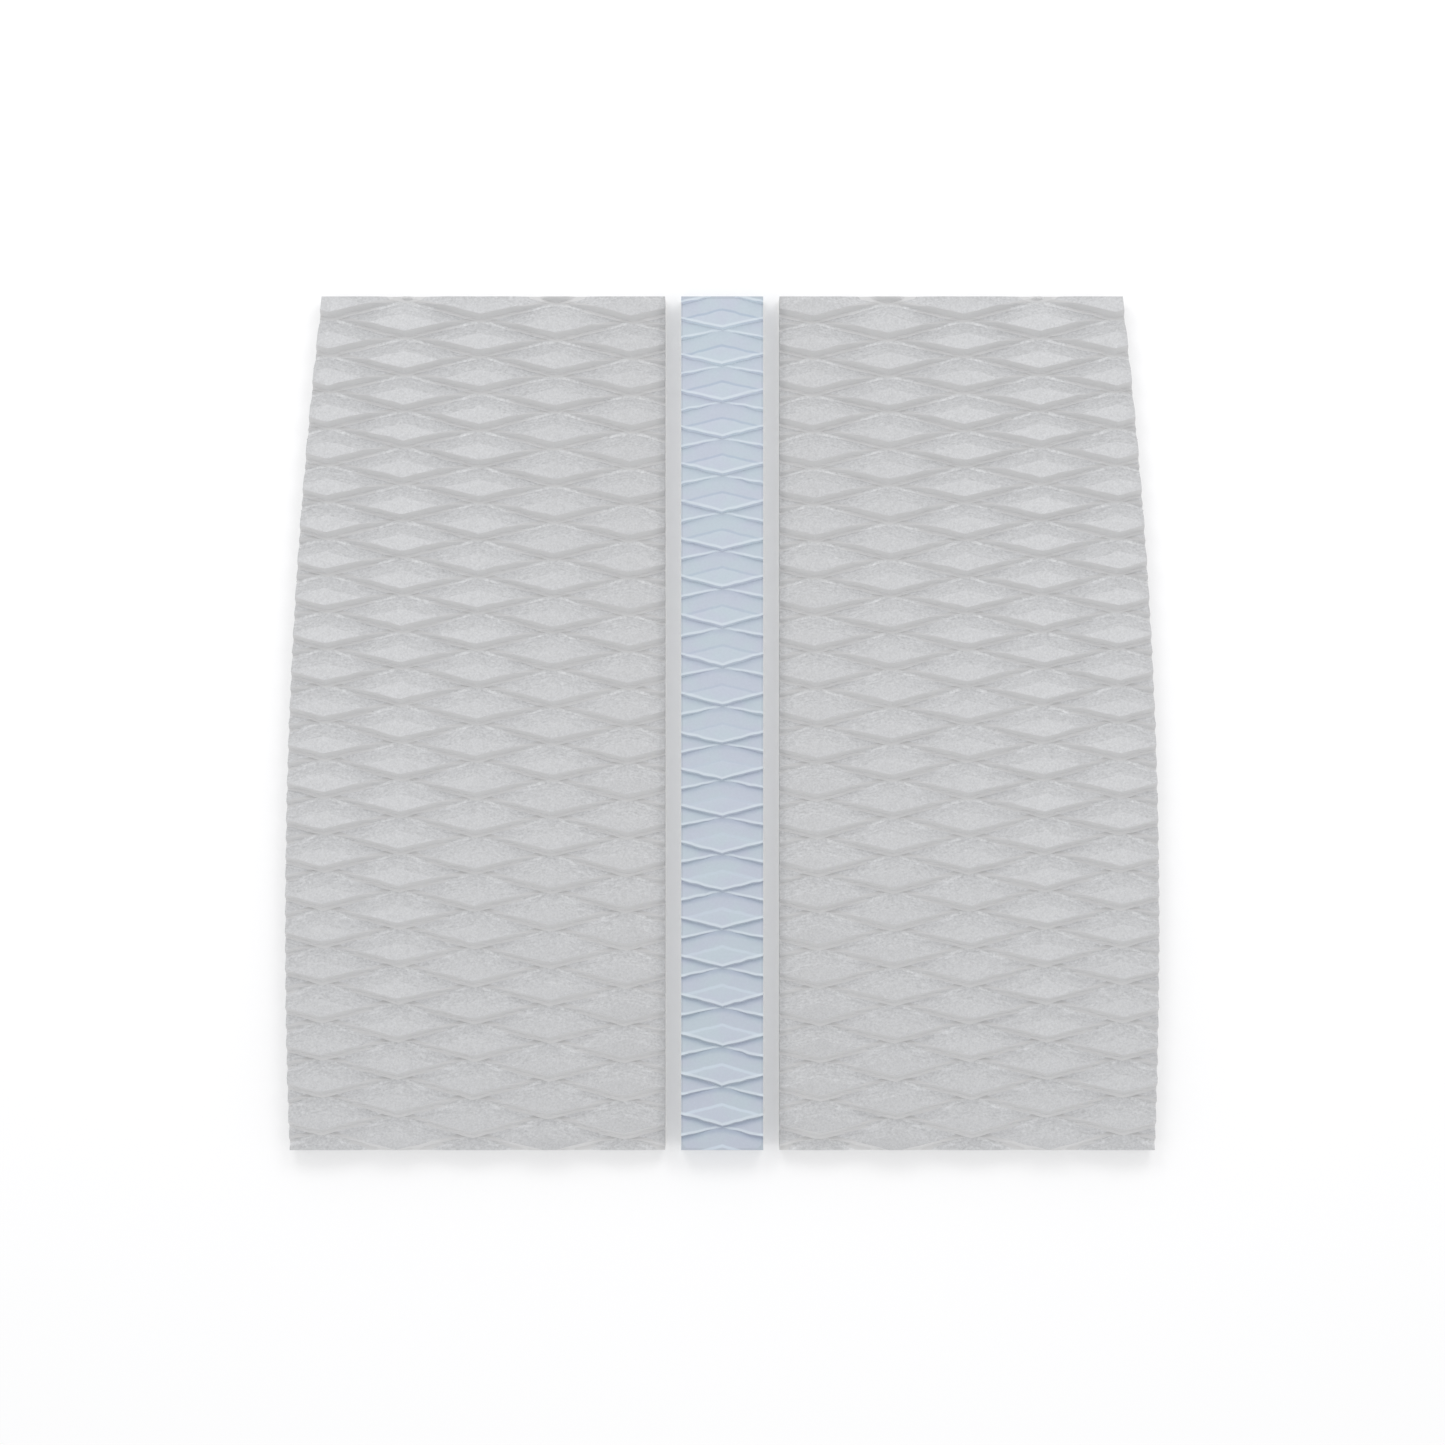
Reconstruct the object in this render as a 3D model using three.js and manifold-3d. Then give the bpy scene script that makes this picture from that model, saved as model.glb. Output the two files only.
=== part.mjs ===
// Snowboard stomp pad: three peel-and-stick strips of closed-cell foam, laid out side by side.
// Each strip is a stack of release liner, adhesive sheet and grooved grip foam.
// Units are millimetres. +X is across the pad, +Y towards its straight narrow end, +Z up.
// The origin is under the middle of the pad, on the surface that the liners lie on.
import * as THREE from 'three';
import { mergeVertices } from 'three/addons/utils/BufferGeometryUtils.js';
import Module from 'manifold-3d';

// Outline
const PAD_LENGTH = 156;
const CENTRE_STRIP_WIDTH = 15;
const STRIP_GAP = 3;
const HALF_WIDTH_MAX = 80;
const WIDEST_Y = -37.8;
const OUTER_EDGE_RADIUS = 1000;
const OUTER_EDGE_STEPS = 12;

// Layers
const LINER_THICKNESS = 0.15;
const ADHESIVE_THICKNESS = 0.2;
const FOAM_THICKNESS = 5;

// Grooves: V cuts in two crossing families. One wall is steep and the other is gentle.
const SIDE_GROOVE = { depth: 2.2, steepShare: 0.18 }; // steepShare: part of the pitch it takes
const CENTRE_GROOVE = { depth: 0.8, steepShare: 0.07 };
const GROOVE_ANGLE = THREE.MathUtils.degToRad(13.75);
const SHEET_TURN = THREE.MathUtils.degToRad(0.6); // how far the side strips' rows are off square
const OPENING_SHARE = 0.5; // part of the pitch that the groove's mouth takes
const CUTTER_RISE = 1; // how far the cutting prism stands above the foam
const CUTTER_REACH = 120; // half the prism's length

// Rows of raised flats, along the column that each strip's grooves are laid out from. The rows
// open out towards -Y: up to the restart row, row k is centred at
// firstY - pitch * k - growth * k * k. There the pitch starts over, and grows by secondGrowth.
const SIDE_ROWS = {
  columnX: 45.05,
  firstY: 76.6,
  pitch: 6.666,
  growth: 0.006,
  restart: Infinity,
  secondGrowth: 0,
};
const CENTRE_ROWS = {
  columnX: 0,
  firstY: 73.92,
  pitch: 6.5,
  growth: 0.036,
  restart: 11,
  secondGrowth: 0.048,
};

const HALF_LENGTH = PAD_LENGTH / 2;
const CENTRE_EDGE_X = CENTRE_STRIP_WIDTH / 2;
const SIDE_INNER_X = CENTRE_EDGE_X + STRIP_GAP;
const ADHESIVE_Z = LINER_THICKNESS;
const FOAM_Z = ADHESIVE_Z + ADHESIVE_THICKNESS;
const FOAM_TOP_Z = FOAM_Z + FOAM_THICKNESS;

const wasm = await Module();
wasm.setup();

// ---- outlines -------------------------------------------------------------------------------

// Half-width of the whole pad at y: an arc that is widest below the middle.
function outerEdgeX(y) {
  const dy = y - WIDEST_Y;
  const sagitta = OUTER_EDGE_RADIUS - Math.sqrt(OUTER_EDGE_RADIUS ** 2 - dy ** 2);
  return HALF_WIDTH_MAX - sagitta;
}

// Side strip: straight inner edge and ends, curved outer edge. side is -1 for left, 1 for right.
function sideOutline(side) {
  const shape = new THREE.Shape();
  shape.moveTo(side * SIDE_INNER_X, HALF_LENGTH);
  shape.lineTo(side * SIDE_INNER_X, -HALF_LENGTH);
  for (let step = 0; step <= OUTER_EDGE_STEPS; step += 1) {
    const y = -HALF_LENGTH + (PAD_LENGTH * step) / OUTER_EDGE_STEPS;
    shape.lineTo(side * outerEdgeX(y), y);
  }
  shape.closePath();
  return shape;
}

function centreOutline() {
  const shape = new THREE.Shape();
  shape.moveTo(-CENTRE_EDGE_X, -HALF_LENGTH);
  shape.lineTo(CENTRE_EDGE_X, -HALF_LENGTH);
  shape.lineTo(CENTRE_EDGE_X, HALF_LENGTH);
  shape.lineTo(-CENTRE_EDGE_X, HALF_LENGTH);
  shape.closePath();
  return shape;
}

// A flat sheet of the outline's shape, standing on height z.
function sheetGeometry(outline, z, thickness) {
  const geometry = new THREE.ExtrudeGeometry(outline, { depth: thickness, bevelEnabled: false });
  return geometry.translate(0, 0, z);
}

// ---- booleans -------------------------------------------------------------------------------

function toSolid(geometry) {
  const bare = geometry.clone();
  bare.deleteAttribute('normal');
  bare.deleteAttribute('uv');
  const merged = mergeVertices(bare);
  const mesh = new wasm.Mesh({
    numProp: 3,
    vertProperties: new Float32Array(merged.attributes.position.array),
    triVerts: new Uint32Array(merged.index.array),
  });
  return new wasm.Manifold(mesh);
}

function toGeometry(solid) {
  const mesh = solid.getMesh();
  const geometry = new THREE.BufferGeometry();
  geometry.setAttribute('position', new THREE.BufferAttribute(mesh.vertProperties, 3));
  geometry.setIndex(new THREE.BufferAttribute(mesh.triVerts, 1));
  geometry.computeVertexNormals();
  return geometry;
}

// ---- grooves --------------------------------------------------------------------------------

// Section of one cut. x points away from the gentle wall, to the steep one; y is up.
function grooveSection(groove, pitch) {
  const mouthHalf = (OPENING_SHARE * pitch) / 2;
  const valleyX = mouthHalf - groove.steepShare * pitch;
  const floorY = FOAM_TOP_Z - groove.depth;
  const rise = (groove.depth + CUTTER_RISE) / groove.depth;
  const shape = new THREE.Shape();
  shape.moveTo(valleyX, floorY);
  shape.lineTo(valleyX + (mouthHalf - valleyX) * rise, floorY + groove.depth * rise);
  shape.lineTo(valleyX - (mouthHalf + valleyX) * rise, floorY + groove.depth * rise);
  shape.closePath();
  return shape;
}

// One cut through the point y on the Y axis, running at an angle to the X axis.
function grooveCutter(groove, y, angle, pitch) {
  const options = { depth: 2 * CUTTER_REACH, bevelEnabled: false };
  const geometry = new THREE.ExtrudeGeometry(grooveSection(groove, pitch), options);
  geometry.translate(0, 0, -CUTTER_REACH);
  const along = new THREE.Vector3(Math.cos(angle), Math.sin(angle), 0);
  const across = new THREE.Vector3(-Math.sin(angle), Math.cos(angle), 0);
  const up = new THREE.Vector3(0, 0, 1);
  geometry.applyMatrix4(new THREE.Matrix4().makeBasis(across, up, along));
  return geometry.translate(0, y, 0);
}

// Place along the layout column of groove number k, halfway between two rows.
function grooveY(rows, k) {
  const row = k + 0.5;
  const first = Math.min(row, rows.restart);
  const second = Math.max(row - rows.restart, 0);
  const run = rows.pitch * row + rows.growth * first ** 2 + rows.secondGrowth * second ** 2;
  return rows.firstY - run;
}

// Grip foam: the outline's block with both families of grooves cut in its top.
function gripGeometry(outline, rows, groove, side) {
  let solid = toSolid(sheetGeometry(outline, FOAM_Z, FOAM_THICKNESS));
  const spread = (HALF_WIDTH_MAX * Math.tan(GROOVE_ANGLE)) / rows.pitch;
  const firstGroove = -Math.ceil(spread) - 1;
  const lastGroove = Math.ceil(PAD_LENGTH / rows.pitch + spread);
  for (let k = firstGroove; k <= lastGroove; k += 1) {
    const localPitch = (grooveY(rows, k - 1) - grooveY(rows, k + 1)) / 2;
    for (const family of [-1, 1]) {
      const angle = family * GROOVE_ANGLE;
      const cutter = grooveCutter(groove, grooveY(rows, k), angle, localPitch * Math.cos(angle));
      cutter.rotateZ(side * SHEET_TURN);
      cutter.translate(side * rows.columnX, 0, 0);
      solid = solid.subtract(toSolid(cutter));
    }
  }
  return toGeometry(solid);
}

// ---- materials ------------------------------------------------------------------------------

const greyFoam = new THREE.MeshStandardMaterial({ color: 0xcbccce, roughness: 0.9, metalness: 0 });
const blueFoam = new THREE.MeshStandardMaterial({ color: 0xc0ccdb, roughness: 0.85, metalness: 0 });
const adhesive = new THREE.MeshStandardMaterial({ color: 0xe6e3d6, roughness: 0.35, metalness: 0 });
const linerPaper = new THREE.MeshStandardMaterial({ color: 0xf2efe6, roughness: 0.6, metalness: 0 });

// ---- assembly -------------------------------------------------------------------------------

function namedMesh(name, geometry, material) {
  const mesh = new THREE.Mesh(geometry, material);
  mesh.name = name;
  return mesh;
}

// One strip: liner, adhesive sheet and grip foam, from the bottom up.
function strip(name, outline, rows, groove, side, foamMaterial) {
  const foam = gripGeometry(outline, rows, groove, side);
  const group = new THREE.Group();
  group.add(
    namedMesh(`${name}_release_liner`, sheetGeometry(outline, 0, LINER_THICKNESS), linerPaper),
    namedMesh(
      `${name}_adhesive_sheet`,
      sheetGeometry(outline, ADHESIVE_Z, ADHESIVE_THICKNESS),
      adhesive,
    ),
    namedMesh(`${name}_grip_foam`, foam, foamMaterial),
  );
  return group;
}

const group = new THREE.Group();
group.add(
  strip('left', sideOutline(-1), SIDE_ROWS, SIDE_GROOVE, -1, greyFoam),
  strip('centre', centreOutline(), CENTRE_ROWS, CENTRE_GROOVE, 0, blueFoam),
  strip('right', sideOutline(1), SIDE_ROWS, SIDE_GROOVE, 1, greyFoam),
);

export default group;
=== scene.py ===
"""Snowboard stomp pad: three strips of grooved foam, each on an adhesive sheet and a liner.

The foam strips are rebuilt here with softened ridges, uneven cuts and swelled die-cut edges. The
adhesive sheets and the liners keep their CAD shape. Lengths below are millimetres unless they say
otherwise; everything handed to Blender is metres.
"""

import math

import bmesh
import bpy
import numpy as np
from mathutils import Matrix, Vector


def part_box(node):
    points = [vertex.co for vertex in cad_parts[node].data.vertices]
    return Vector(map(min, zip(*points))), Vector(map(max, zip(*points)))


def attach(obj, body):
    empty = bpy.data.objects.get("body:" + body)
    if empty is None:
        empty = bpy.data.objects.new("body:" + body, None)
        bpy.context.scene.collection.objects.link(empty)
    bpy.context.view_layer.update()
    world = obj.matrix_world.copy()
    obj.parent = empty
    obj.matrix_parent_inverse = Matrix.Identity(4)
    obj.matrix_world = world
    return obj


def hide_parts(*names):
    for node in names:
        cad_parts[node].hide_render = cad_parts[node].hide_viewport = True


MM = 0.001

# Rows of raised flats: row k is centred at first_y - pitch * k - growth * k * k, along a column of
# flats at column_x. At the restart row the pitch starts over and grows by second_growth. turn is how
# far the sheet's rows are off square, in degrees. The rest is the section across one groove: widths
# as parts of the row pitch, and the depth.
SIDE_ROWS = {
    "column_x": -45.05,
    "first_y": 76.6,
    "pitch": 6.666,
    "growth": 0.006,
    "restart": math.inf,
    "second_growth": 0.0,
    "turn": -0.6,
    "flat_north": 0.215,
    "flat_south": 0.25,
    "gentle_run": 0.335,
    "steep_run": 0.125,
    "depth": 2.2,
}
CENTRE_ROWS = {
    "column_x": 0.0,
    "first_y": 73.92,
    "pitch": 6.5,
    "growth": 0.036,
    "restart": 11,
    "second_growth": 0.048,
    "turn": 0.0,
    "flat_north": 0.24,
    "flat_south": 0.25,
    "gentle_run": 0.44,
    "steep_run": 0.05,
    "depth": 0.8,
}
PAD_END = 78.0  # from the middle of the pad to either end
INNER_EDGE = 10.5  # where a side strip's foam starts, sideways from the middle
HALF_COLUMN = 13.88  # sideways distance between neighbouring columns of flats
WALL_STEPS = 6
FLAT_STEPS = 6
FLOOR_STEPS = 2
RIDGE_ROUNDING = 0.4  # part of the groove's height over which two meeting walls blend
SHEET_MARGIN = 4  # how far the grooved sheet reaches past the outline that cuts it

# Unevenness of the cut
WOBBLE_SLOW = {"wavelength": 23.0, "amount": 0.16}
WOBBLE_FAST = {"wavelength": 3.4, "amount": 0.045}
WOBBLE_HEIGHT = {"wavelength": 4.5, "amount": 0.03}
WOBBLE_SHARE = 0.4  # part of the slow wobble that is kept
FLOOR_LIFT_SHARE = 0.3  # part of the height wobble that reaches the floor of a groove
FLAT_HEIGHT_SPREAD = 0.05
WAVES = 9
WAVELENGTH_SPREAD = (0.7, 1.4)
SHARP_ANGLE = 38.0  # degrees

# Die-cut edge: the foam swells a little at the ends and along the outer sides. The levels are parts
# of the way down from the top.
EDGE_LEVELS = (0.1, 0.3, 0.5, 0.7, 0.9, 1.0)
END_SWELL = 0.34
SIDE_SWELL = 0.16
OUTER_SIDE = 20.0  # an edge farther out than this swells

# Camera
VIEW_WIDTH = 264.23
LENS = 70.0
SENSOR = 36.0
VIEW_CENTRE_X = 0.05
VIEW_CENTRE_Y = 0.14

# Stage, in metres and watts
FLOOR_SIZE = 3.0
FLOOR_Z = -0.05 * MM
FLOOR_COLOUR = (0.82, 0.82, 0.825, 1.0)
FLOOR_GLOW = 0.19
WORLD_STRENGTH = 0.9
KEY_LIGHT_PLACE = (0.14, 0.27, 0.36)
KEY_LIGHT_SIZE = 0.2
KEY_LIGHT_POWER = 0.28

# What a face of the foam belongs to. A notch is where a gentle wall runs through a steep wall, a
# wing is the floor beside a gentle wall, and a crossing is where two floors meet.
FLAT, GENTLE, STEEP, FLOOR, NOTCH, WING, CROSSING, SIDE = range(8)

# Tones of the side foam. Colours are sRGB from 0 to 255. ENDS is a factor, or an amount that is
# added, at the lower end of the pad and at its upper end. The ENDS are painted light: they change the
# tones along the pad as the light changes.
FLAT_COLOUR = (199.2, 200, 201.8)
# Painted light on the flats: darker towards the lower end, lighter towards the outer columns and
# halfway along.
FLAT_ENDS = (0.94, 0.975)
FLAT_SIDEWAYS = (15.0, 60.0, 0.95, 1.03)  # from, to, and the factor at each
FLAT_MIDDLE = 0.03  # added halfway between the ends
FLAT_PATCHES = 0.012
FLAT_GRAIN = 0.26
GENTLE_COLOUR = (191, 191.8, 193.5)
# Painted light on the gentle walls: lighter towards the lower end, lighter with depth against the
# shade in the grooves, and lighter halfway along (WALL_MIDDLE, also for the wings).
GENTLE_ENDS = (1.03, 1.0)
GENTLE_DEPTH_LIFT = 0.06
GENTLE_DEPTH_POWER = 1.5
WALL_MIDDLE = 0.025
WALL_GRAIN = 0.33
WALL_ARCS = 0.15
FOOT_START = 0.7  # depth, as a part of the whole, where a wall's foot begins
# Painted light and shade at the foot of a gentle wall: FOOT_ENDS darkens it a little, most towards
# the upper end, and FOOT_PARTS lighten it by how high the wall beside it is, most towards the lower
# end.
FOOT_ENDS = (-0.01, -0.05)
FOOT_PARTS = (  # height of the wall beside it: from and to, then the ENDS
    (0.6, 1.0, (0.28, 0.05)),
    (0.45, 0.1, (0.09, 0.05)),
)
# Painted light on the wings: a light grey that lifts the shade of the groove floor, lighter where the
# wall beside it is high.
WING_COLOUR = (210, 210.8, 212)
WING_BESIDE = (0.0, 0.8, 0.93, 1.01)  # height of the wall beside it: from, to, and the factors
# Painted light and shade in the grooves: steep walls, floors and crossings are lighter greys than the
# flats to lift their shade, notches a dark grey that paints a shade line, and the ENDS paint the
# change of the light along the pad.
PAINTED_ZONE_TONES = (  # zone, grey and ENDS
    (STEEP, 218.5, (1.045, 1.01)),
    (FLOOR, 213.0, (1.09, 0.98)),
    (NOTCH, 187.0, (1.13, 1.07)),
    (CROSSING, 206.0, (1.17, 0.98)),
)
UPPER_WALL_SHADE = -0.06
CUT_COLOUR = (199, 199.8, 201.4)
CUT_COARSE_GRAIN = 0.16
CUT_FINE_GRAIN = 0.2
# Painted shade: the foam darker within 2.6 mm of its outline.
SIDE_RIM_SHADE = (0.0, 2.6, 0.96, 1.0)  # distance in from the outline: from, to, and the factors
INNER_SHADE = (INNER_EDGE, INNER_EDGE + 1.6, 0.9, 1.0)  # the same, sideways from the middle

# Tones of the centre foam
CLOUD_COLOURS = ((188, 199.4, 208.3), (189, 195.5, 208.8))
# Painted light on the centre foam: darker towards the lower end, lighter flats, and steep walls
# lighter towards the upper end.
CENTRE_ENDS = (0.93, 0.945)
CENTRE_FLAT_LIFT = 0.05
CENTRE_STEEP_ENDS = (-0.05, 0.3)
CENTRE_GRAIN = 0.05
# Painted shade: the centre foam darker within 0.4 mm of its outline.
CENTRE_RIM_SHADE = (0.25, 0.4, 0.9, 1.0)
CENTRE_CUT_GRAIN = 0.1
CENTRE_CUT_SHADE = 0.88
# Painted light and shade on the centre foam: a painted shade line along the upper edge of each flat
# towards the upper end, a painted highlight there towards the lower end, painted shade at the foot of
# the walls towards the lower end, and a painted highlight along the lower edge of each flat.
CREST_SHADE_AND_HIGHLIGHT = (  # ENDS of its share, and colour
    ((-0.1, 0.3), (120, 145, 175)),
    ((0.6, -0.5), (206, 218, 229)),
)
FOOT_SHADE = ((0.25, 0.0), (105, 130, 165))
LIP_HIGHLIGHT = ((0.55, 0.55), (212, 221, 228))


# ---- lattice of grooves ---------------------------------------------------------------------


def section(rows):
    """Places across one groove, as parts of the pitch, and the height there from 0 to 1."""
    levels = np.linspace(0, 1, WALL_STEPS + 1)
    gentle = -rows["flat_north"] - rows["gentle_run"] * (1 - levels)
    steep = rows["flat_south"] + rows["steep_run"] * levels
    flat = np.linspace(-rows["flat_north"], rows["flat_south"], FLAT_STEPS + 1)[1:-1]
    floor = np.linspace(steep[-1], 1 + gentle[0], FLOOR_STEPS + 1)[1:-1]
    heights = [levels, np.ones(len(flat)), 1 - levels, np.zeros(len(floor))]
    return np.concatenate([gentle, flat, steep, floor]), np.concatenate(heights)


def row_y(rows, along):
    """Where a row lies, in the sheet's own frame."""
    first = np.minimum(along, rows["restart"])
    second = np.maximum(along - rows["restart"], 0)
    run = rows["pitch"] * along + rows["growth"] * first**2 + rows["second_growth"] * second**2
    return rows["first_y"] - run


def waves(x, y, wavelength, amount, seed):
    """A smooth random height over the plane: a sum of plane waves in fixed random directions."""
    rng = np.random.default_rng(seed)
    total = np.zeros_like(x)
    for _ in range(WAVES):
        angle = rng.uniform(0, math.tau)
        phase = rng.uniform(0, math.tau)
        number = math.tau / (wavelength * rng.uniform(*WAVELENGTH_SPREAD))
        total += np.sin(number * (x * math.cos(angle) + y * math.sin(angle)) + phase)
    return amount * total * math.sqrt(2 / WAVES)


def rounded_ridge(a, b):
    """The lower of two heights, rounded where they meet, and the more so the lower they are."""
    low = np.minimum(a, b)
    width = RIDGE_ROUNDING * (1 - low) + 1e-6
    overlap = np.maximum(width - np.abs(a - b), 0) / width
    return np.maximum(low - overlap * overlap * width / 4, 0)


def lattice_lines(low, high, places, heights):
    """Every line of one groove family from cell low to cell high, with its cell and its height."""
    cells = np.arange(low, high + 1)
    lines = (cells[:, None] + places[None, :]).ravel()
    return lines, np.repeat(cells, len(places)), np.tile(heights, len(cells))


def lip_distance(rows, off_u, off_v, height_u, height_v):
    """Distance in from the top edge of the nearest steep wall, negative down on the wall."""
    run = rows["steep_run"]
    above_u = 1 + (rows["flat_south"] - off_u) / run - height_v
    above_v = 1 + (rows["flat_south"] - off_v) / run - height_u
    return np.minimum(above_u, above_v) * run * rows["pitch"]


def groove_sheet(rows, reach_x, reach_y, seed):
    """Vertices, faces and their marks for the grooved top, larger than the strip it is cut from."""
    places, heights = section(rows)
    spread = reach_x / (2 * HALF_COLUMN)
    last_row = (rows["first_y"] + reach_y) / rows["pitch"]
    first_row = (rows["first_y"] - reach_y) / rows["pitch"]
    low = math.floor(first_row - spread) - 1
    high = math.ceil(last_row + spread) + 1
    line, cell, height = lattice_lines(low, high, places, heights)
    u, v = np.meshgrid(line, line, indexing="ij")
    across = (u - v) / 2
    along = (u + v) / 2
    sheet_x = across * 2 * HALF_COLUMN
    sheet_y = row_y(rows, along)
    keep = (np.abs(sheet_x) < reach_x) & (np.abs(sheet_y) < reach_y)

    x, y = sheet_x[keep], sheet_y[keep]
    slow = waves(x, y, seed=seed, **WOBBLE_SLOW)
    fast = waves(x, y, seed=seed + 1, **WOBBLE_FAST)
    fast_y = waves(x, y, seed=seed + 2, **WOBBLE_FAST)
    lift = waves(x, y, seed=seed + 3, **WOBBLE_HEIGHT)
    hu, hv = np.meshgrid(height, height, indexing="ij")
    h = rounded_ridge(hu[keep], hv[keep])
    flat_lift = np.random.default_rng(seed + 4).uniform(-1, 1, (len(line), len(line)))
    cell_u, cell_v = np.meshgrid(cell - low, cell - low, indexing="ij")
    flat_lift = flat_lift[cell_u, cell_v][keep] * FLAT_HEIGHT_SPREAD
    lift_share = FLOOR_LIFT_SHARE + (1 - FLOOR_LIFT_SHARE) * h
    z = -rows["depth"] * (1 - h) + lift * lift_share + flat_lift * h
    z = np.minimum(z, 0)

    turn = math.radians(rows["turn"])
    x, y = x + fast, y + slow * WOBBLE_SHARE + fast_y
    points = np.stack(
        [
            rows["column_x"] + x * math.cos(turn) - y * math.sin(turn),
            x * math.sin(turn) + y * math.cos(turn),
            z,
        ],
        axis=1,
    )
    off_u = (u - cell[:, None])[keep]
    off_v = (v - cell[None, :])[keep]
    marks = {
        "depth": 1 - h,
        "beside": np.maximum(hu[keep], hv[keep]),
        "lip": lip_distance(rows, off_u, off_v, hu[keep], hv[keep]),
        "north_edge": (rows["flat_north"] + np.minimum(off_u, off_v)) * rows["pitch"],
        "flat_tone": flat_lift / FLAT_HEIGHT_SPREAD,
    }
    faces, zones = sheet_faces(keep, height)
    return points, faces, zones, marks


def line_kinds(height):
    """What lies between each lattice line and the next."""
    rise = np.diff(height)
    level = np.where(height[1:] > 0.5, FLAT, FLOOR)
    return np.where(rise > 0, GENTLE, np.where(rise < 0, STEEP, level))


def sheet_faces(keep, height):
    """Faces between the kept lattice points, and the zone of each. Walls split along their ridges."""
    index = np.full(keep.shape, -1)
    index[keep] = np.arange(keep.sum())
    a, b = np.nonzero(keep[:-1, :-1] & keep[1:, :-1] & keep[1:, 1:] & keep[:-1, 1:])
    corner = {(i, j): index[a + i, b + j] for i in (0, 1) for j in (0, 1)}
    rise = np.sign(np.diff(height))
    kinds = line_kinds(height)
    middle = (height[:-1] + height[1:]) / 2
    # The rows run towards -Y, so these orders of corners face up.
    across_ridge = (rise[a] * rise[b] < 0)[:, None]
    halves = (
        (((0, 0), (0, 1), (1, 0)), ((0, 0), (0, 1), (1, 1)), 1),
        (((0, 1), (1, 1), (1, 0)), ((0, 0), (1, 1), (1, 0)), -1),
    )
    faces, zones = [], []
    for crossed, plain, side in halves:
        corners = [np.stack([corner[c] for c in three], axis=1) for three in (crossed, plain)]
        faces.append(np.where(across_ridge, *corners))
        lower_is_u = middle[a] < middle[b] + side * 1e-3 * rise[a]
        lower = np.where(lower_is_u, kinds[a], kinds[b])
        higher = np.where(lower_is_u, kinds[b], kinds[a])
        zones.append(np.select(
            [
                (lower == GENTLE) & (higher == STEEP),
                (lower == FLOOR) & (higher == GENTLE),
                (lower == FLOOR) & (higher != FLAT),
            ],
            [NOTCH, WING, CROSSING],
            lower,
        ))
    return np.concatenate(faces), np.concatenate(zones)


# ---- strips ---------------------------------------------------------------------------------


def outline_of(node):
    """The corners of a flat CAD node, anticlockwise from above, in millimetres. It is convex."""
    corners = [v.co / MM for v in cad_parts[node].data.vertices]
    points = np.array(sorted({(round(co.x, 4), round(co.y, 4)) for co in corners}))
    middle = points.mean(axis=0)
    turn = np.arctan2(points[:, 1] - middle[1], points[:, 0] - middle[0])
    return points[np.argsort(turn)]


def outline_edges(outline):
    """Each edge's first corner and outward normal."""
    step = np.roll(outline, -1, axis=0) - outline
    normal = np.stack([step[:, 1], -step[:, 0]], axis=1)
    normal /= np.linalg.norm(normal, axis=1)[:, None]
    return list(zip(outline, normal))


def cut_to_outline(bm, outline):
    for point, normal in outline_edges(outline):
        bmesh.ops.bisect_plane(
            bm,
            geom=bm.verts[:] + bm.edges[:] + bm.faces[:],
            dist=1e-4,
            plane_co=(*point, 0),
            plane_no=(*normal, 0),
            clear_outer=True,
        )


def swell(z, top_z, bottom_z):
    """How far, from 0 to 1, the die-cut edge has swelled at this height."""
    part = (z - bottom_z) / (top_z - bottom_z)
    return max(4 * part * (1 - part), 0)


def outward(point, edges):
    """How far the edge at a point of the outline moves where the foam is fully swelled."""
    total = Vector((0, 0))
    for corner, normal in edges:
        on_edge = abs((point - Vector(corner)).dot(Vector(normal))) < 1e-3
        if on_edge and corner @ normal > OUTER_SIDE:
            total += Vector(normal) * (END_SWELL if abs(normal[1]) > 0.9 else SIDE_SWELL)
    return total


def close_below(bm, outline, top_z, bottom_z, zone_layer):
    """Adds the die-cut side wall and the underside to the cut sheet."""
    edges = outline_edges(outline)
    rim = [e for e in bm.edges if len(e.link_faces) == 1]
    start = {v: v.co.copy() for e in rim for v in e.verts}
    push = {v: outward(v.co.xy, edges) for v in start}
    for vert, co in start.items():
        vert.co.xy = co.xy + push[vert] * swell(co.z, top_z, bottom_z)
    for level in EDGE_LEVELS:
        made = bmesh.ops.extrude_edge_only(bm, edges=rim)["geom"]
        above = {v for e in rim for v in e.verts}
        rim = [g for g in made if isinstance(g, bmesh.types.BMEdge) and not set(g.verts) & above]
        for face in (g for g in made if isinstance(g, bmesh.types.BMFace)):
            face[zone_layer] = SIDE
        for vert in {v for e in rim for v in e.verts}:
            parent = next(e.other_vert(vert) for e in vert.link_edges if e.other_vert(vert) in above)
            start[vert], push[vert] = start[parent], push[parent]
            vert.co.z = start[vert].z + (bottom_z - start[vert].z) * level
            vert.co.xy = start[vert].xy + push[vert] * swell(vert.co.z, top_z, bottom_z)
    for face in bmesh.ops.contextual_create(bm, geom=rim)["faces"]:
        face[zone_layer] = SIDE


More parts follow.
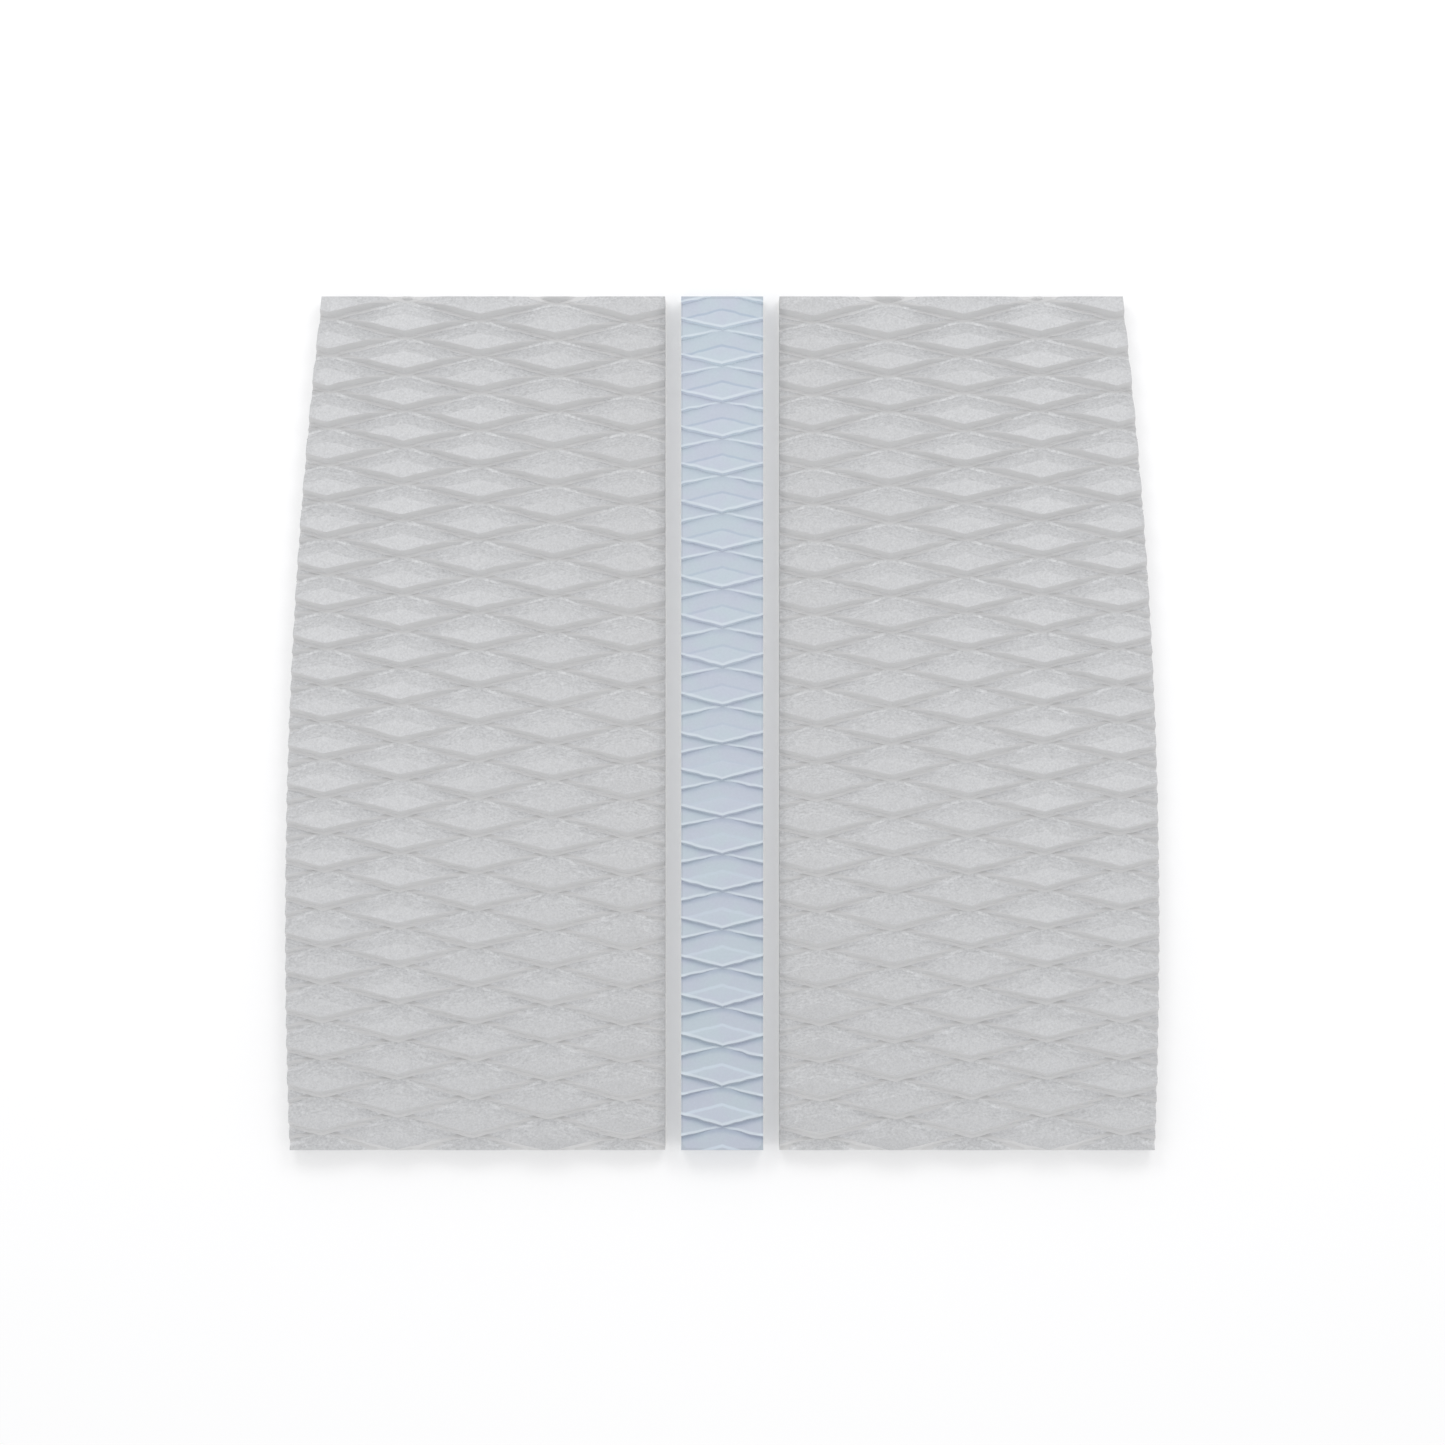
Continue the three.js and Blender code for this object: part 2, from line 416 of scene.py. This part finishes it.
def grooved_strip(name, outline_node, foam_node, rows, seed):
    """One strip of foam as a closed mesh object in the CAD foam node's place."""
    low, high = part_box(foam_node)
    top_z, bottom_z = high.z / MM, low.z / MM
    outline = outline_of(outline_node)
    reach_x = max(abs(outline[:, 0] - rows["column_x"])) + SHEET_MARGIN
    reach_y = max(abs(outline[:, 1])) + SHEET_MARGIN
    points, faces, zones, marks = groove_sheet(rows, reach_x, reach_y, seed)
    points[:, 2] += top_z
    marks["rim"] = np.min([(p - points[:, :2]) @ n for p, n in outline_edges(outline)], axis=0)
    mesh = bpy.data.meshes.new(name)
    mesh.from_pydata(points.tolist(), [], faces.tolist())
    for mark, values in marks.items():
        mesh.attributes.new(mark, "FLOAT", "POINT").data.foreach_set("value", values)
    mesh.attributes.new("zone", "INT", "FACE").data.foreach_set("value", zones)
    bm = bmesh.new()
    bm.from_mesh(mesh)
    cut_to_outline(bm, outline)
    close_below(bm, outline, top_z, bottom_z, bm.faces.layers.int["zone"])
    bmesh.ops.recalc_face_normals(bm, faces=bm.faces)
    bmesh.ops.scale(bm, vec=(MM, MM, MM), verts=bm.verts)
    bm.to_mesh(mesh)
    bm.free()
    finish_mesh(mesh)
    return place(name, mesh)


def finish_mesh(mesh):
    mesh.shade_smooth()
    mesh.set_sharp_from_angle(angle=math.radians(SHARP_ANGLE))


def place(name, mesh):
    piece = bpy.data.objects.new(name, mesh)
    bpy.context.scene.collection.objects.link(piece)
    return piece


def mirrored(name, source):
    """The mirror image of a piece across the pad's centre line."""
    mesh = source.data.copy()
    mesh.transform(Matrix.Scale(-1, 4, (1, 0, 0)))
    mesh.flip_normals()
    finish_mesh(mesh)
    return place(name, mesh)


# ---- materials ------------------------------------------------------------------------------


class Nodes:
    """A short way to write a node material."""

    def __init__(self, name):
        self.material = bpy.data.materials.new(name)
        self.material.use_nodes = True
        self.tree = self.material.node_tree
        self.tree.nodes.clear()

    def add(self, kind, inputs=(), **settings):
        node = self.tree.nodes.new(kind)
        for key, value in settings.items():
            setattr(node, key, value)
        for key, value in dict(inputs).items():
            self.set(node, key, value)
        return node

    def set(self, node, key, value):
        if isinstance(value, bpy.types.NodeSocket):
            self.tree.links.new(value, node.inputs[key])
        else:
            node.inputs[key].default_value = value

    def math(self, operation, *values):
        node = self.add("ShaderNodeMath", operation=operation)
        for i, value in enumerate(values):
            self.set(node, i, value)
        return node.outputs[0]

    def mark(self, name):
        return self.add("ShaderNodeAttribute", attribute_name=name).outputs["Fac"]

    def is_zone(self, number):
        return self.math("COMPARE", self.mark("zone"), float(number), 0.5)

    def coordinates(self, scale=(1, 1, 1)):
        """Object coordinates in millimetres, stretched by scale."""
        metres = self.add("ShaderNodeTexCoord").outputs["Object"]
        size = [s / MM for s in scale]
        return self.add("ShaderNodeMapping", {"Vector": metres, "Scale": size}).outputs[0]

    def noise(self, vector, scale, detail=2.0, roughness=0.5):
        inputs = {"Vector": vector, "Scale": scale, "Detail": detail, "Roughness": roughness}
        return self.add("ShaderNodeTexNoise", inputs).outputs["Fac"]

    def ramp(self, value, low, high, to_low=0.0, to_high=1.0, smooth=True):
        kind = "SMOOTHSTEP" if smooth else "LINEAR"
        inputs = {0: value, 1: low, 2: high, 3: to_low, 4: to_high}
        node = self.add("ShaderNodeMapRange", interpolation_type=kind)
        for i, v in inputs.items():
            self.set(node, i, v)
        return node.outputs[0]

    def mix(self, factor, a, b):
        node = self.add("ShaderNodeMix", data_type="RGBA")
        self.set(node, 0, factor)
        self.set(node, 6, a)
        self.set(node, 7, b)
        return node.outputs[2]

    def scaled(self, colour, factor):
        """A colour times a number."""
        node = self.add("ShaderNodeVectorMath", operation="SCALE")
        self.set(node, 0, colour[:3] if isinstance(colour, tuple) else colour)
        self.set(node, "Scale", factor)
        return node.outputs[0]

    def grain(self, value, spread):
        """A number near 1 that varies by spread with a noise value."""
        return self.math("MULTIPLY_ADD", value, spread * 2, 1 - spread)

    def bump(self, height, distance, strength):
        inputs = {"Height": height, "Distance": distance * MM, "Strength": strength}
        return self.add("ShaderNodeBump", inputs).outputs[0]

    def surface(self, inputs):
        shader = self.add("ShaderNodeBsdfPrincipled", inputs)
        output = self.add("ShaderNodeOutputMaterial")
        self.tree.links.new(shader.outputs[0], output.inputs[0])
        return self.material


class FoamNodes(Nodes):
    """The nodes that both foams start from."""

    def __init__(self, name):
        super().__init__(name)
        self.xyz = self.coordinates()
        axes = self.add("ShaderNodeSeparateXYZ", {0: self.xyz}).outputs
        self.sideways = self.math("ABSOLUTE", axes[0])
        self.y = axes[1]
        self.depth = self.mark("depth")
        self.foot = self.ramp(self.depth, FOOT_START, 1.0)

    def along(self, ends):
        """A number that goes from the first end's value to the second's, up the pad."""
        return self.ramp(self.y, -PAD_END, PAD_END, *ends, smooth=False)

    def halfway(self):
        """1 halfway between the ends of the pad, and 0 at either end."""
        return self.ramp(self.math("ABSOLUTE", self.y), 0.0, PAD_END, 1.0, 0.0)

    def line(self, mark, centre, inner, outer):
        """1 within inner of where the mark equals centre, and 0 from outer on."""
        away = self.math("ABSOLUTE", self.math("SUBTRACT", self.mark(mark), centre))
        return self.ramp(away, inner, outer, 1.0, 0.0)

    def paint(self, colour, where, ends, paint):
        """A colour with painted light mixed in: a painted highlight where the paint colour is light,
        painted shade where it is dark. Its share runs from end to end, and never below 0.
        """
        share = self.math("MULTIPLY", where, self.math("MAXIMUM", self.along(ends), 0.0))
        return self.mix(share, colour, linear(*paint))


def linear(red, green, blue):
    """An sRGB colour from 0 to 255 as linear RGBA."""
    parts = [c / 255 for c in (red, green, blue)]
    return (*[c / 12.92 if c <= 0.04045 else ((c + 0.055) / 1.055) ** 2.4 for c in parts], 1.0)


def flat_colour(n, fine):
    """Sanded flats with painted light: a little lighter outwards, at the upper end and halfway along.
    """
    # painted light: the flats lighter outwards, towards the upper end and halfway along
    painted_flat_light = n.math("MULTIPLY", n.ramp(n.sideways, *FLAT_SIDEWAYS, smooth=False), n.along(FLAT_ENDS))
    painted_flat_light = n.math("MULTIPLY_ADD", n.halfway(), FLAT_MIDDLE, painted_flat_light)
    painted_light_and_patches = n.math("MULTIPLY_ADD", n.mark("flat_tone"), FLAT_PATCHES, painted_flat_light)
    return n.scaled(linear(*FLAT_COLOUR), n.math("MULTIPLY", painted_light_and_patches, n.grain(fine, FLAT_GRAIN)))


def wall_speckle(n, coarse):
    """The coarse grain of a gentle wall, with arcs that run along it."""
    stretched = {0: n.math("MULTIPLY", n.sideways, 0.6), 1: n.math("MULTIPLY", n.depth, 9.0)}
    arcs = n.noise(n.add("ShaderNodeCombineXYZ", stretched).outputs[0], 1.0)
    return n.math("MULTIPLY", n.grain(coarse, WALL_GRAIN), n.grain(arcs, WALL_ARCS))


def gentle_colour(n, speckle):
    """Gentle walls with painted light against the shade in the grooves: lighter with depth, and at
    the foot by how high the wall beside it is.
    """
    # painted light: lighter with depth, towards the lower end and halfway along
    lift = n.math("POWER", n.depth, GENTLE_DEPTH_POWER)
    lift = n.math("MULTIPLY_ADD", lift, GENTLE_DEPTH_LIFT, n.along(GENTLE_ENDS))
    lift = n.math("MULTIPLY_ADD", n.halfway(), WALL_MIDDLE, lift)
    # painted light and shade at the foot of the wall
    for low, high, ends in FOOT_PARTS:
        near = n.math("MULTIPLY", n.foot, n.ramp(n.mark("beside"), low, high))
        lift = n.math("MULTIPLY_ADD", near, n.along(ends), lift)
    lift = n.math("MULTIPLY_ADD", n.foot, n.along(FOOT_ENDS), lift)
    return n.scaled(linear(*GENTLE_COLOUR), n.math("MULTIPLY", lift, speckle))


def wing_colour(n, speckle):
    """Floor beside a gentle wall, with painted light: lighter where the wall beside it is high, and
    halfway along.
    """
    # painted light against the shade beside the walls, and halfway along
    tone = n.ramp(n.mark("beside"), *WING_BESIDE, smooth=False)
    tone = n.math("MULTIPLY_ADD", n.halfway(), WALL_MIDDLE, tone)
    return n.scaled(linear(*WING_COLOUR), n.math("MULTIPLY", tone, speckle))


def cut_side_colour(n, fine, coarse):
    """The die-cut sides."""
    grain = n.math("MULTIPLY", n.grain(coarse, CUT_COARSE_GRAIN), n.grain(fine, CUT_FINE_GRAIN))
    return n.scaled(linear(*CUT_COLOUR), grain)


def side_foam_material():
    """Light cool grey foam: sanded flats, coarse cut walls facing +Y, smooth walls facing -Y, with
    painted light and shade in its tones.
    """
    n = FoamNodes("side_foam")
    fine = n.noise(n.xyz, 2.9, roughness=0.7)
    coarse = n.noise(n.xyz, 2.0, roughness=0.7)
    speckle = wall_speckle(n, coarse)
    colour = n.mix(n.is_zone(FLAT), gentle_colour(n, speckle), flat_colour(n, fine))
    colour = n.mix(n.is_zone(WING), colour, wing_colour(n, speckle))
    # painted light and shade of the groove zones
    for zone, grey, ends in PAINTED_ZONE_TONES:
        plain = n.scaled(linear(grey, grey, grey + 0.5), n.along(ends))
        colour = n.mix(n.is_zone(zone), colour, plain)
    height = n.ramp(n.depth, 0.0, 1.0, 1.0, 0.0, smooth=False)
    upper_wall = n.math("MULTIPLY", n.is_zone(STEEP), height)
    colour = n.scaled(colour, n.math("MULTIPLY_ADD", upper_wall, UPPER_WALL_SHADE, 1.0))
    colour = n.mix(n.is_zone(SIDE), colour, cut_side_colour(n, fine, coarse))
    # painted shade along the outline
    colour = n.scaled(colour, n.ramp(n.mark("rim"), *SIDE_RIM_SHADE))
    colour = n.scaled(colour, n.ramp(n.sideways, *INNER_SHADE))
    bump = n.bump(fine, 0.04, 0.4)
    return n.surface({"Base Color": colour, "Roughness": 0.9, "Normal": bump})


def cloud_colour(n):
    """Cloudy patches of cyan and lilac."""
    cloud = n.noise(n.coordinates((0.9, 1.2, 1.0)), 0.17, detail=3.0, roughness=0.6)
    return n.mix(n.ramp(cloud, 0.33, 0.67), *(linear(*colour) for colour in CLOUD_COLOURS))


def centre_foam_material():
    """Marbled pale blue foam, with a painted highlight along the cut edges and painted shade at the
    foot of the cuts.
    """
    n = FoamNodes("centre_foam")
    clouds = cloud_colour(n)
    # painted light: darker towards the lower end, lighter flats, steep walls lighter towards the
    # upper end
    tone = n.math("MULTIPLY_ADD", n.is_zone(FLAT), CENTRE_FLAT_LIFT, n.along(CENTRE_ENDS))
    tone = n.math("MULTIPLY_ADD", n.is_zone(STEEP), n.along(CENTRE_STEEP_ENDS), tone)
    tone = n.math("MULTIPLY", tone, n.grain(n.noise(n.xyz, 2.4), CENTRE_GRAIN))
    # painted shade along the outline
    tone = n.math("MULTIPLY", tone, n.ramp(n.mark("rim"), *CENTRE_RIM_SHADE))
    colour = n.scaled(clouds, tone)

    # painted shade and highlights along the upper edges of the flats, painted shade at the foot,
    # painted highlight along the lips
    near_top = n.math("LESS_THAN", n.depth, 0.3)
    crest = n.math("MULTIPLY", n.line("north_edge", -0.15, 0.1, 0.34), near_top)
    for ends, paint in CREST_SHADE_AND_HIGHLIGHT:
        colour = n.paint(colour, crest, ends, paint)
    colour = n.paint(colour, n.foot, *FOOT_SHADE)
    colour = n.paint(colour, n.line("lip", 0.2, 0.12, 0.34), *LIP_HIGHLIGHT)

    cut = n.scaled(clouds, n.grain(n.noise(n.xyz, 1.6, detail=3.0), CENTRE_CUT_GRAIN))
    colour = n.mix(n.is_zone(SIDE), colour, n.scaled(cut, CENTRE_CUT_SHADE))
    bump = n.bump(n.noise(n.xyz, 3.0), 0.03, 0.4)
    return n.surface({"Base Color": colour, "Roughness": 0.85, "Normal": bump})


def adhesive_material():
    """Milky pressure-sensitive adhesive film."""
    n = Nodes("adhesive_film")
    cloud = n.noise(n.coordinates(), 0.35, detail=3.0)
    colour = n.mix(cloud, linear(226, 223, 208), linear(236, 234, 224))
    bump = n.bump(n.noise(n.coordinates(), 1.4), 0.02, 0.4)
    return n.surface({"Base Color": colour, "Roughness": 0.4, "Normal": bump})


def liner_material():
    """Off-white siliconised release paper with a faint fibre."""
    n = Nodes("liner_paper")
    fibre = n.noise(n.coordinates((0.4, 2.4, 1.0)), 1.2, detail=4.0, roughness=0.7)
    colour = n.mix(fibre, linear(236, 231, 219), linear(246, 243, 235))
    bump = n.bump(fibre, 0.015, 0.5)
    return n.surface({"Base Color": colour, "Roughness": 0.5, "Normal": bump})


def floor_material():
    """White acrylic light table: pale, and faintly lit from below."""
    n = Nodes("light_table")
    return n.surface(
        {
            "Base Color": FLOOR_COLOUR,
            "Roughness": 0.9,
            "Specular IOR Level": 0.0,
            "Emission Color": FLOOR_COLOUR,
            "Emission Strength": FLOOR_GLOW,
        }
    )


# ---- stage ----------------------------------------------------------------------------------


def add_floor():
    mesh = bpy.data.meshes.new("floor")
    corners = [(-1, -1), (1, -1), (1, 1), (-1, 1)]
    points = [(x * FLOOR_SIZE, y * FLOOR_SIZE, FLOOR_Z) for x, y in corners]
    mesh.from_pydata(points, [], [(0, 1, 2, 3)])
    mesh.materials.append(floor_material())
    place("floor", mesh)


def add_camera():
    """Straight above the pad, framed on the plane of the foam's top."""
    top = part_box("centre_grip_foam")[1].z
    data = bpy.data.cameras.new("camera")
    data.lens = LENS
    data.sensor_width = SENSOR
    data.clip_start = 0.01
    camera = bpy.data.objects.new("camera", data)
    height = VIEW_WIDTH * MM * LENS / SENSOR
    camera.location = (VIEW_CENTRE_X * MM, VIEW_CENTRE_Y * MM, top + height)
    bpy.context.scene.collection.objects.link(camera)
    bpy.context.scene.camera = camera


def add_key_light(side):
    """A soft light beyond the pad's upper end, on one side, that points at its middle."""
    data = bpy.data.lights.new(f"key_{side}", "AREA")
    data.shape = "DISK"
    data.size = KEY_LIGHT_SIZE
    data.energy = KEY_LIGHT_POWER
    light = bpy.data.objects.new(data.name, data)
    light.location = (side * KEY_LIGHT_PLACE[0], *KEY_LIGHT_PLACE[1:])
    light.rotation_euler = (-light.location).to_track_quat("-Z", "Y").to_euler()
    bpy.context.scene.collection.objects.link(light)


def add_light():
    world = bpy.data.worlds.new("studio")
    world.use_nodes = True
    background = world.node_tree.nodes["Background"]
    background.inputs["Color"].default_value = (1.0, 1.0, 1.0, 1.0)
    background.inputs["Strength"].default_value = WORLD_STRENGTH
    bpy.context.scene.world = world
    for side in (-1, 1):
        add_key_light(side)


# ---- build ----------------------------------------------------------------------------------

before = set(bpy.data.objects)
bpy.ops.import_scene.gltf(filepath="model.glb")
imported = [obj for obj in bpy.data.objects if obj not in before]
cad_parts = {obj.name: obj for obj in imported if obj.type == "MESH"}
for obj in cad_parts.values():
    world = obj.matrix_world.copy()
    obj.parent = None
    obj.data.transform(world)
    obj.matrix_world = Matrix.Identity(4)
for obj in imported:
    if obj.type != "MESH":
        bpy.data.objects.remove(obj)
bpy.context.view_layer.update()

add_camera()
add_floor()
add_light()
bpy.context.scene.view_settings.view_transform = "Standard"

left = grooved_strip("left_foam", "left_release_liner", "left_grip_foam", SIDE_ROWS, 11)
right = mirrored("right_foam", left)
centre = grooved_strip("centre_foam", "centre_release_liner", "centre_grip_foam", CENTRE_ROWS, 31)

side_material = side_foam_material()
for piece, strip, material, slot in (
    (left, "left", side_material, "side_foam"),
    (centre, "centre", centre_foam_material(), "centre_foam"),
    (right, "right", side_material, "side_foam"),
):
    piece.data.materials.append(material)
    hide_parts(f"{strip}_grip_foam")
    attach(piece, f"{strip}_strip")

film, paper = adhesive_material(), liner_material()
for strip in ("left", "centre", "right"):
    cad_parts[f"{strip}_adhesive_sheet"].data.materials[0] = film
    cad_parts[f"{strip}_release_liner"].data.materials[0] = paper
